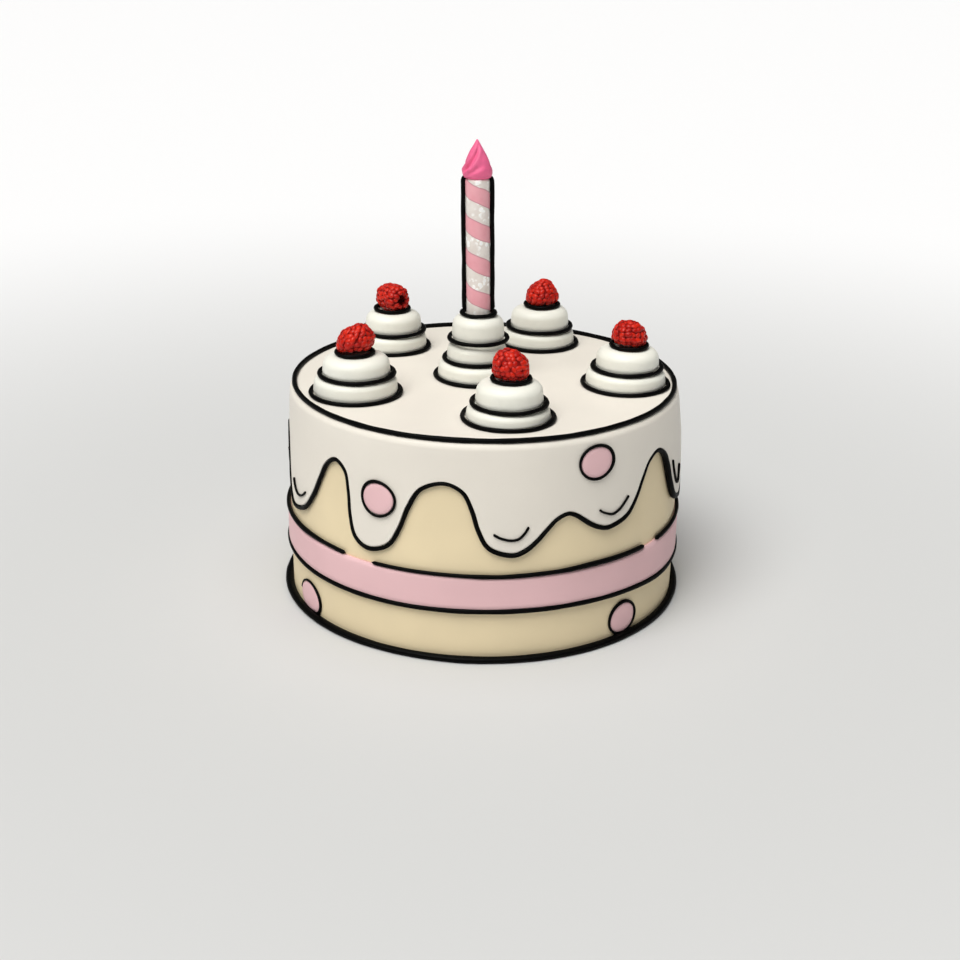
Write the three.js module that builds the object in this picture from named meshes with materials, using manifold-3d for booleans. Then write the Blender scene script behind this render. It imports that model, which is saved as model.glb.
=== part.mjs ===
// A decorated birthday cake: a round sponge in beige fondant under a dripping white coat, with a pink
// waistband, pink dots, black fondant outlines, six stacked rosettes, five raspberries and one candle.
//
// Millimetres, +Z up. The origin is the centre of the underside and the front of the cake faces -Y.
// An azimuth is an angle in degrees about the cake's axis, from the front and growing towards +X.

import * as THREE from 'three';
import { mergeVertices } from 'three/addons/utils/BufferGeometryUtils.js';
import Module from 'manifold-3d';

// ---------------------------------------------------------------- driving dimensions

const GAP = 0.3;                    // air between curved pieces that touch
const ROPE = 2.4;                   // thickness of the black fondant lines round the rosettes

// The beige body stands straight up to its waist and tapers in above it, under the coat.
const BODY = { radius: 89.5, waist: 44, shoulderRadius: 86.75, shoulder: 90, height: 95.25 };

// The white coat: the outside of its side at two heights, and its flat top.
const COAT = { lowRadius: 90.75, low: 50, highRadius: 88.5, high: 90, top: 97.5 };

// The lower edge of the coat as [azimuth, height, level before, level after]: it falls to the tip of a drip
// and climbs to the arch between two drips, by turns. The last two say, in degrees, how broad the turn is
// on each side: they are the lengths of the level handles of the curve that joins the points.
const DRIPS = [
  [-83, 79, 6, 8], [-66.9, 47.7, 8, 14.5], [-44.2, 80.6, 7.8, 8.7], [-31.7, 45.8, 11.2, 13],
  [-10.6, 79.6, 13.4, 11.6], [7.5, 49.1, 12.9, 7.1], [23.2, 65, 5.2, 3.8], [36.6, 55.3, 6.4, 12.5],
  [57.4, 80.8, 9.1, 8.2], [74.3, 51.1, 9.6, 8], [90, 80, 8, 7], [104.5, 47.5, 8, 9],
  [121, 78.5, 9, 7.5], [136, 57, 8, 7], [150.5, 69, 5.5, 6], [167, 48, 10, 11],
  [187, 81, 11, 8], [203, 51.5, 8.5, 8], [218.5, 67.5, 5, 5.5], [233, 57.5, 7, 8],
  [250, 80.5, 9, 8], [264.5, 50, 8.5, 6],
];

const BAND = { bottom: 24.5, top: 39.25, thickness: 1.25 };
const BAND_LINE = 2.2;              // how far the two lines that frame the band stand out
const BAND_LINE_TOP = 40.2;         // height of the middle of the upper line
const BAND_LINE_BOTTOM = 23.05;     // height of the middle of the lower line
const BAND_SAG = { azimuth: 68, width: 26, depth: 3 };          // where the lower line sags
const BAND_TOP_ARCS = { front: [-31, 51], back: [57, 320] };     // the upper line is laid in two lengths

const BASE_LINE = { width: 4.2, height: 2.9 };                   // the line round the foot, pressed flat
const RIM = { radius: 86.1, thickness: 2.25 };                   // the line on the edge of the top

// The dots as [name, azimuth, height, half width, half height]; they were cut by hand, and none is round.
const DOT_THICKNESS = 0.9;
const DOTS = [
  ['coat_left', -28.9, 69.4, 7.4, 6.8], ['coat_right', 31.9, 85.8, 7.7, 6.7],
  ['coat_back_left', 206, 72, 7.2, 6.8], ['coat_back_right', 151, 84.5, 7, 6.9],
  ['body_left', -58.8, 7.8, 9.2, 7], ['body_right', 43.3, 9.5, 7.5, 6.9],
  ['body_back_left', 238, 10, 7.2, 6.9], ['body_back_right', 118, 12.5, 7.1, 6.7],
];

// Rosettes: the place of the foot, then one [radius, height, shift in x] for each disc from the bottom up.
const ROSETTES = [
  { name: 'front', at: [10.1, -55.6], discs: [[18.1, 6.25, 0], [14.5, 10.25, 0.4]], shift: 1.1 },
  { name: 'left', at: [-56.7, -24.8], discs: [[18.5, 8.5, 0], [15, 9.25, 0.5]], shift: 0 },
  { name: 'right', at: [63.6, -7.5], discs: [[18, 7.75, 0], [14.25, 9.75, 0.5]], shift: 0.9 },
  { name: 'back_left', at: [-45.2, 47.3], discs: [[16.9, 8, 0], [13.5, 10, 0.9]], shift: 0.4 },
  { name: 'back_right', at: [26.3, 56.7], discs: [[17.3, 8, 0], [14, 10.5, 0.3]], shift: 1.2 },
  {
    name: 'centre', at: [-3.6, 2.3], shift: 0.5,
    discs: [[17.7, 8, 0], [13.6, 9.25, 0], [11.9, 11.75, 0.5]],
  },
];
const BERRY_RING = { radius: 9, thickness: 2.2 };

// Raspberries that stand: radius, height, how far the top leans over in x.
const BERRIES = {
  front: { radius: 8.1, height: 14.6, lean: 0.4 },
  left: { radius: 8.6, height: 13.4, lean: 1.6 },
  right: { radius: 8.1, height: 12.8, lean: 0.2 },
  back_right: { radius: 8.2, height: 13.7, lean: -1.2 },
};
// The raspberry that lies on its side shows the hollow that the stalk left. Its axis is this far above the
// disc at the middle of its length, and climbs towards the hollow.
const LYING_BERRY = {
  radius: 6.7, length: 14.8, hollowRadius: 3, hollowDepth: 8, yaw: -50, tilt: 6, axisHeight: 7.15,
};

const CANDLE = { radius: 5.4, height: 61.25, lean: -0.018 };     // lean: shift in x for each mm of height
const CANDLE_LINE = { inner: 5.7, outer: 7.4, width: 2.1, corner: 2.6 };
const CANDLE_RING = { inner: 6.25, outer: 8.45, thickness: 2.2 };
const FLAME = { radius: 6.75, height: 16.7, twist: 70, flatness: 0.88 };

// Numbers of facets.
const BODY_COLUMNS = 44;
const STEPS_PER_DRIP_SIDE = 5;
const ROSETTE_COLUMNS = 16;
const BERRY_COLUMNS = 12;
const CANDLE_COLUMNS = 16;
const DOT_COLUMNS = 16;

// ---------------------------------------------------------------- materials

const fondant = (color, roughness) => new THREE.MeshStandardMaterial({ color, roughness, metalness: 0 });
const materials = {
  beige: fondant('#e6d3ab', 0.6),
  white: fondant('#f3ece0', 0.5),
  cream: fondant('#f1f0e6', 0.45),
  pink: fondant('#e6bcc2', 0.55),
  black: fondant('#0c0c0b', 0.35),
  berry: fondant('#c02a1a', 0.3),
  candle: fondant('#eba5b4', 0.4),
  flame: fondant('#f0559a', 0.55),
};

// ---------------------------------------------------------------- helpers

const radians = THREE.MathUtils.degToRad;

function onCylinder(azimuth, radius, height) {
  const angle = radians(azimuth);
  return new THREE.Vector3(radius * Math.sin(angle), -radius * Math.cos(angle), height);
}

function piece(name, geometry, material) {
  const mesh = new THREE.Mesh(geometry, material);
  mesh.name = name;
  return mesh;
}

// A solid turned about +Z. The profile's [radius, height] points run so that the inside is on their left,
// from the axis to the axis or back to the first point. place(column, index) may move any of its points.
function turned(profile, columns, place) {
  const points = profile.map(([radius, height]) => new THREE.Vector2(radius, height));
  const geometry = new THREE.LatheGeometry(points, columns);
  geometry.rotateX(Math.PI / 2);
  if (place) {
    const position = geometry.attributes.position;
    for (let column = 0; column <= columns; column++) {
      for (let index = 0; index < points.length; index++) {
        const point = place(column % columns, index);
        position.setXYZ(column * points.length + index, point.x, point.y, point.z);
      }
    }
  }
  return geometry;
}

// A ring of rope that lies on a flat face: a flat foot and a narrower back.
function rope(innerRadius, outerRadius, thickness, columns) {
  const slope = (outerRadius - innerRadius) * 0.2;
  const profile = [
    [innerRadius, 0], [outerRadius, 0], [outerRadius - slope, thickness], [innerRadius + slope, thickness],
    [innerRadius, 0],
  ];
  return turned(profile, columns);
}

const bodyRadius = (height) => BODY.radius
  - Math.max(0, height - BODY.waist) * (BODY.radius - BODY.shoulderRadius) / (BODY.shoulder - BODY.waist);
const coatRadius = (height) => COAT.highRadius
  + (COAT.high - height) * (COAT.lowRadius - COAT.highRadius) / (COAT.high - COAT.low);

// ---------------------------------------------------------------- body and coat

function cakeBody() {
  const { radius, waist, shoulderRadius, shoulder, height } = BODY;
  return turned([
    [0, 0], [radius, 0], [radius, waist], [shoulderRadius, shoulder],
    [shoulderRadius - 2, shoulder + 4], [shoulderRadius - 4, height], [0, height],
  ], BODY_COLUMNS);
}

// The middle of the black line along the coat's edge, as unrolled points [arc length, height] with the
// unit normal that points up into the coat.
function dripOutline() {
  const count = DRIPS.length;
  const radius = (COAT.lowRadius + COAT.highRadius) / 2;
  const points = [];
  for (let side = 0; side < count; side++) {
    const [from, fromHeight, , levelAfter] = DRIPS[side];
    const [next, toHeight, levelBefore] = DRIPS[(side + 1) % count];
    const to = side + 1 === count ? next + 360 : next;
    const curve = new THREE.CubicBezierCurve(
      new THREE.Vector2(from, fromHeight), new THREE.Vector2(from + levelAfter, fromHeight),
      new THREE.Vector2(to - levelBefore, toHeight), new THREE.Vector2(to, toHeight));
    for (let step = 0; step < STEPS_PER_DRIP_SIDE; step++) {
      const { x: azimuth, y: height } = curve.getPoint(step / STEPS_PER_DRIP_SIDE);
      points.push({ along: radians(azimuth) * radius, height });
    }
  }
  const total = 2 * Math.PI * radius;
  return points.map((point, i) => {
    const before = points[(i + points.length - 1) % points.length];
    const after = points[(i + 1) % points.length];
    const along = (after.along - before.along + total) % total;
    const up = after.height - before.height;
    const length = Math.hypot(along, up);
    // The point moved by a distance along the normal, back on the cylinder.
    const shifted = (distance) => ({
      azimuth: THREE.MathUtils.radToDeg((point.along - distance * up / length) / radius),
      height: point.height + distance * along / length,
    });
    return { azimuth: THREE.MathUtils.radToDeg(point.along / radius), shifted };
  });
}

const outline = dripOutline();
const EDGE_FROM_LINE = 1.15;        // from the middle of the edge line up to the coat's edge
const EDGE_LINE = { up: 0.85, down: 1.05, thickness: 1.9 };

function coat() {
  const { highRadius, high, top } = COAT;
  const shoulder = BODY.shoulderRadius + GAP;
  // Each ring's [radius, height], first the lining and then the outside; the two rings of the edge have
  // their radius as a function, because their height follows the drips.
  const lining = (height) => bodyRadius(height) + GAP;
  const rings = [
    [0, BODY.height], [shoulder - 3.6, BODY.height], [shoulder - 1.7, BODY.shoulder + 4.2],
    [shoulder, BODY.shoulder], [lining, high], [coatRadius, high],
    [highRadius, high], [highRadius - 0.35, high + 4.4], [highRadius - 1.3, top - 1],
    [highRadius - 3, top], [0, top],
  ];
  const flat = rings.map(([radius, height]) => (
    [typeof radius === 'function' ? radius(height) : radius, height]));
  return turned(flat, outline.length, (column, index) => {
    const [radius, height] = rings[index];
    if (typeof radius !== 'function') return onCylinder(outline[column].azimuth, radius, height);
    const edge = outline[column].shifted(EDGE_FROM_LINE);
    return onCylinder(edge.azimuth, radius(edge.height), edge.height);
  });
}

function dripLine() {
  const { up, down, thickness } = EDGE_LINE;
  // Corners of the section: how far up the coat, and how far out from the body.
  const corners = [[up, GAP], [-down, GAP], [-down + 0.3, thickness], [up - 0.3, thickness], [up, GAP]];
  return turned(corners, outline.length, (column, index) => {
    const [offset, depth] = corners[index];
    const { azimuth, height } = outline[column].shifted(offset);
    return onCylinder(azimuth, bodyRadius(height) + depth, height);
  });
}

// ---------------------------------------------------------------- band and lines

// How far the lower edge of the band hangs at one azimuth.
function sag(azimuth) {
  const away = (azimuth - BAND_SAG.azimuth) / BAND_SAG.width;
  return BAND_SAG.depth * Math.exp(-away * away);
}

function band() {
  const inner = BODY.radius + GAP;
  const outer = inner + BAND.thickness;
  const corners = [
    [inner, BAND.bottom], [outer, BAND.bottom], [outer, BAND.top], [inner, BAND.top], [inner, BAND.bottom],
  ];
  return turned(corners, BODY_COLUMNS, (column, index) => {
    const azimuth = column * 360 / BODY_COLUMNS;
    const [radius, height] = corners[index];
    return onCylinder(azimuth, radius, height === BAND.bottom ? height - sag(azimuth) : height);
  });
}

function bandBottomLine() {
  const inner = BODY.radius + GAP;
  const half = BAND.bottom - GAP - BAND_LINE_BOTTOM;
  const back = half * 0.65;
  const corners = [[0, -half], [BAND_LINE, -back], [BAND_LINE, back], [0, half], [0, -half]];
  return turned(corners, BODY_COLUMNS, (column, index) => {
    const azimuth = column * 360 / BODY_COLUMNS;
    const [depth, rise] = corners[index];
    return onCylinder(azimuth, inner + depth, BAND_LINE_BOTTOM + rise - sag(azimuth));
  });
}

// One length of the upper line, between two azimuths: a box bent round the body, thinner at its ends.
function bandTopLine([from, to]) {
  const steps = Math.ceil((to - from) * BODY_COLUMNS / 360);
  const geometry = new THREE.BoxGeometry(1, 1, 1, steps, 1, 1);
  const position = geometry.attributes.position;
  const inner = BODY.radius + GAP;
  const bottom = BAND.top + 0.1;
  for (let i = 0; i < position.count; i++) {
    const t = position.getX(i) + 0.5;
    const fullness = Math.min(1, 0.35 + 12 * Math.min(t, 1 - t) * (to - from) / 90);
    const height = bottom + (position.getZ(i) + 0.5) * 2 * (BAND_LINE_TOP - bottom) * fullness;
    const radius = inner + (0.5 - position.getY(i)) * BAND_LINE * fullness;
    const point = onCylinder(from + (to - from) * t, radius, height);
    position.setXYZ(i, point.x, point.y, point.z);
  }
  return geometry;
}

// ---------------------------------------------------------------- dots

// A flat disc of fondant bent onto the side. On the body it stops above the line at the foot.
function dot(azimuth, height, halfWidth, halfHeight, onCoat) {
  const geometry = new THREE.CylinderGeometry(0.96, 1, DOT_THICKNESS, DOT_COLUMNS);
  geometry.scale(halfWidth, 1, halfHeight);
  const position = geometry.attributes.position;
  for (let i = 0; i < position.count; i++) {
    const z = Math.max(height - position.getZ(i), BASE_LINE.height + GAP);
    const surface = onCoat ? coatRadius(z) : BODY.radius;
    const turn = THREE.MathUtils.radToDeg(position.getX(i) / surface);
    const out = surface + GAP + DOT_THICKNESS / 2 + position.getY(i);
    const point = onCylinder(azimuth + turn, out, z);
    position.setXYZ(i, point.x, point.y, point.z);
  }
  return geometry;
}

// ---------------------------------------------------------------- rosettes

function disc(radius, height) {
  const round = Math.min(height * 0.45, 4.5);
  return turned([
    [0, 0], [radius - 0.4, 0], [radius, height - round], [radius - round * 0.35, height - round * 0.35],
    [radius - round, height], [0, height],
  ], ROSETTE_COLUMNS);
}

// Adds a stack of discs, each with a rope round its foot, and returns its top in the cake's frame.
function addRosette(cake, { name, at, discs, shift }) {
  const stack = new THREE.Group();
  stack.position.set(at[0], at[1], COAT.top);
  cake.add(stack);
  let floor = 0;
  discs.forEach(([radius, height, offset], level) => {
    const layer = piece(`rosette_${name}_disc_${level + 1}`, disc(radius, height), materials.cream);
    const line = piece(`rosette_${name}_line_${level + 1}`,
      rope(radius - 0.4 + GAP, radius - 0.4 + GAP + ROPE, ROPE, ROSETTE_COLUMNS), materials.black);
    for (const mesh of [layer, line]) {
      mesh.position.set(offset, 0, floor);
      stack.add(mesh);
    }
    floor += height;
  });
  return new THREE.Vector3(at[0] + shift, at[1], COAT.top + floor);
}

// ---------------------------------------------------------------- raspberries

// A standing raspberry: its foot fits inside the ring of rope and it swells above it.
function standingBerry({ radius, height, lean }) {
  const foot = BERRY_RING.radius - BERRY_RING.thickness - GAP - 0.1;
  const ring = BERRY_RING.thickness + GAP;
  const profile = [[0, 0], [foot - 0.8, 0], [foot, ring]];
  for (const share of [0.3, 0.52, 0.74, 0.9]) {
    const across = Math.sqrt(1 - ((share - 0.3) / 0.72) ** 2);
    profile.push([radius * across, height * share + ring * (1 - share)]);
  }
  profile.push([0, height]);
  return turned(profile, BERRY_COLUMNS, (column, index) => {
    const [across, up] = profile[index];
    const over = Math.max(0, up - ring) / (height - ring);
    return onCylinder(column * 360 / BERRY_COLUMNS, across, up).add(new THREE.Vector3(lean * over, 0, 0));
  });
}

// A raspberry with its stalk's hollow open at the top of its axis.
function hollowBerry({ radius, length, hollowRadius, hollowDepth }) {
  return turned([
    [0, 0], [radius * 0.6, length * 0.05], [radius * 0.92, length * 0.24], [radius, length * 0.55],
    [radius * 0.98, length * 0.8], [radius * 0.8, length], [hollowRadius, length - 0.6],
    [hollowRadius * 0.8, length - hollowDepth + 1.5], [0, length - hollowDepth],
  ], BERRY_COLUMNS);
}

function addBerry(cake, name, seat) {
  const { radius, thickness } = BERRY_RING;
  const ring = piece(`berry_ring_${name}`,
    rope(radius - thickness, radius, thickness, ROSETTE_COLUMNS), materials.black);
  ring.position.copy(seat);
  cake.add(ring);
  if (BERRIES[name]) {
    const berry = piece(`raspberry_${name}`, standingBerry(BERRIES[name]), materials.berry);
    berry.position.copy(seat);
    cake.add(berry);
    return;
  }
  const berry = piece(`raspberry_${name}`, hollowBerry(LYING_BERRY), materials.berry);
  const { length, yaw, tilt, axisHeight } = LYING_BERRY;
  const level = Math.cos(radians(tilt));
  const axis = new THREE.Vector3(
    level * Math.cos(radians(yaw)), level * Math.sin(radians(yaw)), Math.sin(radians(tilt)));
  berry.quaternion.setFromUnitVectors(new THREE.Vector3(0, 0, 1), axis);
  berry.position.copy(seat).addScaledVector(axis, -length / 2);
  berry.position.z += axisHeight;
  cake.add(berry);
}

// ---------------------------------------------------------------- candle

// Shifts every point sideways with its height, so that a level foot stays level.
function leaned(geometry, floor) {
  const position = geometry.attributes.position;
  for (let i = 0; i < position.count; i++) {
    position.setX(i, position.getX(i) + CANDLE.lean * (position.getZ(i) + floor));
  }
  return geometry;
}

// The line up one side of the candle, over its top and down the other, as one flat bow.
function candleLine() {
  const { inner, outer, width, corner } = CANDLE_LINE;
  const foot = CANDLE_RING.thickness + GAP;
  const innerTop = CANDLE.height + GAP;
  const outerTop = innerTop + outer - inner;
  const innerCorner = corner - (outer - inner);
  const bow = new THREE.Shape();
  bow.moveTo(-outer, foot);
  bow.lineTo(-inner, foot);
  bow.lineTo(-inner, innerTop - innerCorner);
  bow.absarc(-inner + innerCorner, innerTop - innerCorner, innerCorner, Math.PI, Math.PI / 2, true);
  bow.absarc(inner - innerCorner, innerTop - innerCorner, innerCorner, Math.PI / 2, 0, true);
  bow.lineTo(inner, foot);
  bow.lineTo(outer, foot);
  bow.lineTo(outer, outerTop - corner);
  bow.absarc(outer - corner, outerTop - corner, corner, 0, Math.PI / 2, false);
  bow.absarc(-outer + corner, outerTop - corner, corner, Math.PI / 2, Math.PI, false);
  const geometry = new THREE.ExtrudeGeometry(bow, { depth: width, bevelEnabled: false, curveSegments: 4 });
  geometry.rotateX(Math.PI / 2);
  geometry.translate(0, width / 2, 0);
  return leaned(geometry, 0);
}

// A drop of fondant drawn up to a twisted point.
function flameDrop() {
  const { radius, height, twist, flatness } = FLAME;
  const profile = [
    [0, 0], [radius * 0.7, 0], [radius * 0.97, height * 0.11], [radius, height * 0.22],
    [radius * 0.81, height * 0.43], [radius * 0.5, height * 0.65], [radius * 0.21, height * 0.87],
    [0, height],
  ];
  return turned(profile, BERRY_COLUMNS, (column, index) => {
    const [across, up] = profile[index];
    const point = onCylinder(column * 360 / BERRY_COLUMNS + twist * up / height, across, up);
    point.y *= flatness;
    return point;
  });
}

// The flame is pressed down over the bow: a slot across its foot leaves room for the line.
async function flame() {
  const wasm = await Module();
  wasm.setup();
  const solid = (geometry) => {
    const bare = geometry.clone();
    bare.deleteAttribute('normal');
    bare.deleteAttribute('uv');
    const merged = mergeVertices(bare);
    return new wasm.Manifold(new wasm.Mesh({
      numProp: 3,
      vertProperties: new Float32Array(merged.attributes.position.array),
      triVerts: new Uint32Array(merged.index.array),
    }));
  };
  const slotHeight = CANDLE_LINE.outer - CANDLE_LINE.inner + 2 * GAP;
  const slot = new THREE.BoxGeometry(4 * FLAME.radius, CANDLE_LINE.width + 2 * GAP, 2 * slotHeight);
  const cut = solid(flameDrop()).subtract(solid(slot)).getMesh();
  const geometry = new THREE.BufferGeometry();
  geometry.setAttribute('position', new THREE.BufferAttribute(new Float32Array(cut.vertProperties), 3));
  geometry.setIndex([...cut.triVerts]);
  geometry.computeVertexNormals();
  return geometry;
}

async function addCandle(cake, seat) {
  const stick = new THREE.CylinderGeometry(CANDLE.radius, CANDLE.radius, CANDLE.height, CANDLE_COLUMNS);
  stick.rotateX(Math.PI / 2);
  stick.translate(0, 0, CANDLE.height / 2);
  const { inner, outer, thickness } = CANDLE_RING;
  const meshes = [
    piece('candle', leaned(stick, 0), materials.candle),
    piece('candle_line', candleLine(), materials.black),
    piece('candle_ring', rope(inner, outer, thickness, ROSETTE_COLUMNS), materials.black),
  ];
  for (const mesh of meshes) {
    mesh.position.copy(seat);
    cake.add(mesh);
  }
  const drop = piece('flame', leaned(await flame(), CANDLE.height), materials.flame);
  drop.position.copy(seat);
  drop.position.z += CANDLE.height;
  cake.add(drop);
}

// ---------------------------------------------------------------- the cake

const cake = new THREE.Group();
cake.add(piece('cake_body', cakeBody(), materials.beige));
cake.add(piece('icing_coat', coat(), materials.white));
cake.add(piece('drip_line', dripLine(), materials.black));
cake.add(piece('waistband', band(), materials.pink));
cake.add(piece('waistband_line_bottom', bandBottomLine(), materials.black));
for (const [side, arc] of Object.entries(BAND_TOP_ARCS)) {
  cake.add(piece(`waistband_line_top_${side}`, bandTopLine(arc), materials.black));
}
const baseInner = BODY.radius + GAP;
cake.add(piece('base_line',
  rope(baseInner, baseInner + BASE_LINE.width, BASE_LINE.height, BODY_COLUMNS), materials.black));
const rimInner = RIM.radius - RIM.thickness / 2;
const rimLine = piece('rim_line',
  rope(rimInner, rimInner + RIM.thickness, RIM.thickness, BODY_COLUMNS), materials.black);
rimLine.position.z = COAT.top;
cake.add(rimLine);
for (const [name, ...place] of DOTS) {
  cake.add(piece(`dot_${name}`, dot(...place, name.startsWith('coat')), materials.pink));
}
for (const rosette of ROSETTES) {
  const seat = addRosette(cake, rosette);
  if (rosette.name === 'centre') await addCandle(cake, seat);
  else addBerry(cake, rosette.name, seat);
}

export default cake;
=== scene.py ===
"""A decorated birthday cake: beige fondant body, dripping white coat, pink band and dots, black outlines,
rosettes with raspberries and a striped candle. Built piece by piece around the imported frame, in metres."""

import random
from math import atan2, cos, degrees, exp, hypot, pi, radians, sin, sqrt

import bmesh
import bpy
from mathutils import Matrix, Vector, noise


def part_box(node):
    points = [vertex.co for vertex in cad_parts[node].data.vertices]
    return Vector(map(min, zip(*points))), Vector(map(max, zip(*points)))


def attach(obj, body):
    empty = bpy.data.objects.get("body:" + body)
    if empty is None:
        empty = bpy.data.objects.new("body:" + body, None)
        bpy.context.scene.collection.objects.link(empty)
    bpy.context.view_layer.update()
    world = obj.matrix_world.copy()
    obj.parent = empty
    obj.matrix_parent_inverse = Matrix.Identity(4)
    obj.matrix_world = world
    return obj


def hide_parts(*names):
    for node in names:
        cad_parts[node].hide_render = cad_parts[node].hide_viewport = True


noise.seed_set(1)                   # noise_vector takes its offsets from this, and else from the clock
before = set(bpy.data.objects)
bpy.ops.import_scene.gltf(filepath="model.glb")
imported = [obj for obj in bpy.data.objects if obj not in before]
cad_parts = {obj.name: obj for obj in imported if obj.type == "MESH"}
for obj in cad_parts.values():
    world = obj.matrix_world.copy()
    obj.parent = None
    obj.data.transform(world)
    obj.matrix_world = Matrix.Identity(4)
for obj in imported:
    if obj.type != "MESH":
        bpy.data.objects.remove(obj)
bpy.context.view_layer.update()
MM = 0.001


# ---- cake body --------------------------------------------------------------------------------------
# The bare cake under one sheet of beige sugar paste, rolled out and smoothed down with a paddle, so that
# it is satin smooth with soft hand marks. It stands straight to the band and tapers in under the coat.

def at(azimuth, radius, height):
    """A point round the cake's axis. The azimuth is in degrees from the front, growing towards +X."""
    angle = radians(azimuth)
    return Vector((radius * sin(angle), -radius * cos(angle), height))


def reach(node):
    """How far a CAD node reaches from the cake's axis."""
    low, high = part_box(node)
    return max(high[0], -low[0])


def srgb(red, green, blue):
    """A colour as it is seen, in 0 to 255, turned into the linear values that shaders take."""
    def linear(part):
        part /= 255
        return part / 12.92 if part <= 0.04045 else ((part + 0.055) / 1.055) ** 2.4
    return (linear(red), linear(green), linear(blue), 1)


def darker(colour, share):
    return (*(part * share for part in colour[:3]), 1)


class Value:
    """One output of a finish's nodes. Arithmetic on it adds Math nodes."""

    def __init__(self, finish, socket):
        self.finish = finish
        self.socket = socket

    def math(self, operation, *inputs):
        return self.finish.node("ShaderNodeMath", {"operation": operation}, dict(enumerate(inputs)))

    def __add__(self, other):
        return self.math("ADD", self, other)

    def __sub__(self, other):
        return self.math("SUBTRACT", self, other)

    def __rsub__(self, other):
        return self.math("SUBTRACT", other, self)

    def __mul__(self, other):
        return self.math("MULTIPLY", self, other)

    def __truediv__(self, other):
        return self.math("DIVIDE", self, other)

    __radd__ = __add__
    __rmul__ = __mul__


class Finish:
    """A material under construction, with its Principled shader and the piece's own coordinates."""

    def __init__(self, name, **constants):
        self.material = bpy.data.materials.new(name)
        self.material.use_nodes = True
        self.tree = self.material.node_tree
        self.shader = self.tree.nodes["Principled BSDF"]
        for socket, value in constants.items():
            self.shader.inputs[socket.replace("_", " ")].default_value = value
        self.place = self.node("ShaderNodeTexCoord", {}, {}, "Object")

    def feed(self, socket, value):
        if isinstance(value, Value):
            self.tree.links.new(value.socket, socket)
        else:
            socket.default_value = value

    def node(self, kind, settings, inputs, output=0):
        node = self.tree.nodes.new(kind)
        for name, value in settings.items():
            setattr(node, name, value)
        for name, value in inputs.items():
            self.feed(node.inputs[name], value)
        return Value(self, node.outputs[output])

    def noise(self, size, detail=2.0):
        """Soft noise from 0 to 1, with patches of about the given size in metres."""
        inputs = {"Vector": self.place, "Scale": 1 / size, "Detail": detail}
        return self.node("ShaderNodeTexNoise", {}, inputs)

    def between(self, value, low, high):
        """0 where the value is below low, 1 above high, smooth between them."""
        inputs = {"Value": value, "From Min": low, "From Max": high}
        return self.node("ShaderNodeMapRange", {"interpolation_type": "SMOOTHSTEP"}, inputs)

    def mix(self, share, first, second):
        return self.node("ShaderNodeMix", {"data_type": "RGBA"}, {0: share, 6: first, 7: second}, 2)

    def bump(self, height, distance, strength=1.0):
        inputs = {"Height": height, "Distance": distance, "Strength": strength}
        return self.node("ShaderNodeBump", {}, inputs)

    def surface(self, **values):
        for socket, value in values.items():
            self.feed(self.shader.inputs[socket.replace("_", " ")], value)
        return self.material


def fondant(name, colour, roughness=0.5, patches=0.03, shade=0.93, grain=0.00002):
    """Rolled sugar paste: faint cloudy patches, a fine grain and a satin skin that is duller in places."""
    finish = Finish(name, Specular_IOR_Level=0.4)
    cloud = finish.between(finish.noise(patches), 0.3, 0.7)
    fine = finish.noise(0.0009, 3)
    tone = finish.mix(cloud, darker(colour, shade), colour)
    tone = finish.mix(finish.between(fine, 0.62, 0.8) * 0.25, tone, darker(colour, 0.86))
    dull = finish.noise(0.012, 3) * 0.16 + (roughness - 0.08)
    skin = finish.noise(0.009, 2) * 0.75 + fine * 0.25
    return finish.surface(Base_Color=tone, Roughness=dull, Normal=finish.bump(skin, grain * 8, 0.35))


def turned(profile, steps):
    """A mesh spun about +Z from (radius, height) points, first in the plane of azimuth 0."""
    bm = bmesh.new()
    corners = [bm.verts.new((0, -radius, height)) for radius, height in profile]
    edges = [bm.edges.new(pair) for pair in zip(corners, corners[1:])]
    bmesh.ops.spin(bm, geom=corners + edges, axis=(0, 0, 1), cent=(0, 0, 0), dvec=(0, 0, 0),
                   angle=2 * pi, steps=steps, use_merge=True, use_duplicate=False)
    bmesh.ops.remove_doubles(bm, verts=bm.verts, dist=1e-7)
    bmesh.ops.recalc_face_normals(bm, faces=bm.faces)
    return bm


def reshape(bm, move):
    """Gives every vertex the new azimuth, radius and height that move returns for its old ones."""
    for vertex in bm.verts:
        x, y, z = vertex.co
        vertex.co = at(*move(degrees(atan2(x, -y)), hypot(x, y), z))


def piece(name, bm, material):
    """Turns a bmesh into a smooth-shaded object at the origin."""
    mesh = bpy.data.meshes.new(name)
    bm.to_mesh(mesh)
    bm.free()
    mesh.polygons.foreach_set("use_smooth", [True] * len(mesh.polygons))
    mesh.materials.append(material)
    thing = bpy.data.objects.new(name, mesh)
    bpy.context.scene.collection.objects.link(thing)
    return thing


def settle(thing, slot, *nodes):
    """The piece stands for these CAD nodes, which are hidden, and rides on the one body. The slot is not
    used.
    """
    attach(thing, "root")
    if nodes:
        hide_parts(*nodes)
    return thing


def arc(centre, radius, start, end, steps):
    """Points of a circular arc in the plane of a profile, angles in degrees from outwards to upwards."""
    for step in range(steps + 1):
        angle = radians(start + (end - start) * step / steps)
        yield (centre[0] + radius * cos(angle), centre[1] + radius * sin(angle))


def rise(low, high, steps):
    """Evenly spaced points between two points of a profile, without the last."""
    for step in range(steps):
        share = step / steps
        yield (low[0] + (high[0] - low[0]) * share, low[1] + (high[1] - low[1]) * share)


def hand_marks(azimuth, height):
    """How far the paddle left the side of the cake in or out, the same for every layer on it."""
    spot = at(azimuth, 1.0, height * 12)
    return 0.00022 * noise.noise(spot * 2.1) + 0.00008 * noise.noise(spot * 6)


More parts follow.
